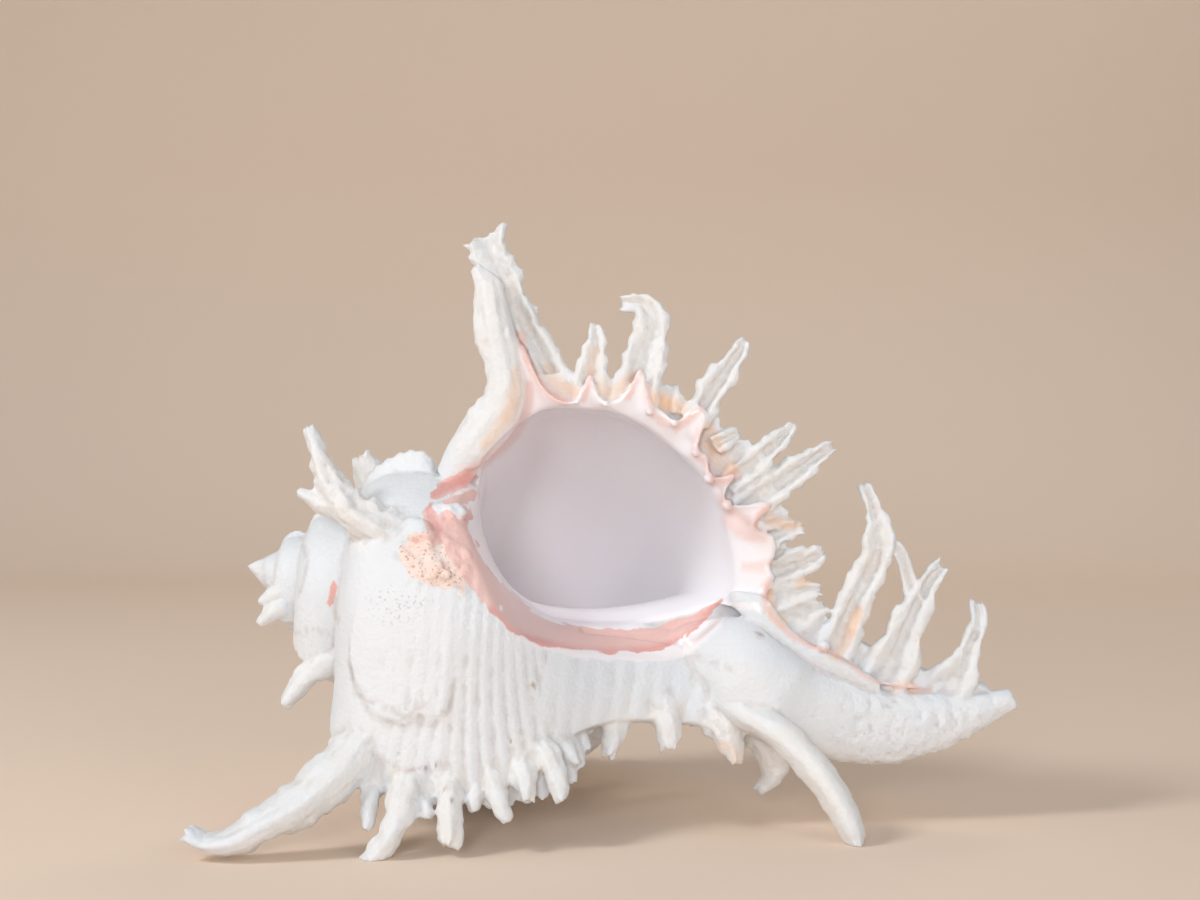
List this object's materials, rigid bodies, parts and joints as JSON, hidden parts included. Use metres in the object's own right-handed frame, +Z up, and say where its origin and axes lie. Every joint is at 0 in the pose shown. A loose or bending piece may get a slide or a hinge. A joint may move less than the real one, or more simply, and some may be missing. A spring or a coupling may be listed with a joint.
{
  "type": "murex shell",
  "caption": "Branched murex shell lying mouth forward on its fronds, with a short spire, frilled varices, a wide open mouth and a curved canal with a narrow slit.",
  "frame": {"origin": "centre of the bounding box at floor level, where the shell rests on its fronds", "axes": "+X from the spire towards the tip of the canal, -Y out of the mouth towards the viewer, +Z up as the shell rests"},
  "size_m": [0.2028, 0.1306, 0.1519],
  "materials": {
    "shell": "chalky white outside, glossy lilac white inside the mouth with a salmon pink edge"
  },
  "bodies": {
    "root": {"shell": "shell"}
  },
  "joints": []
}
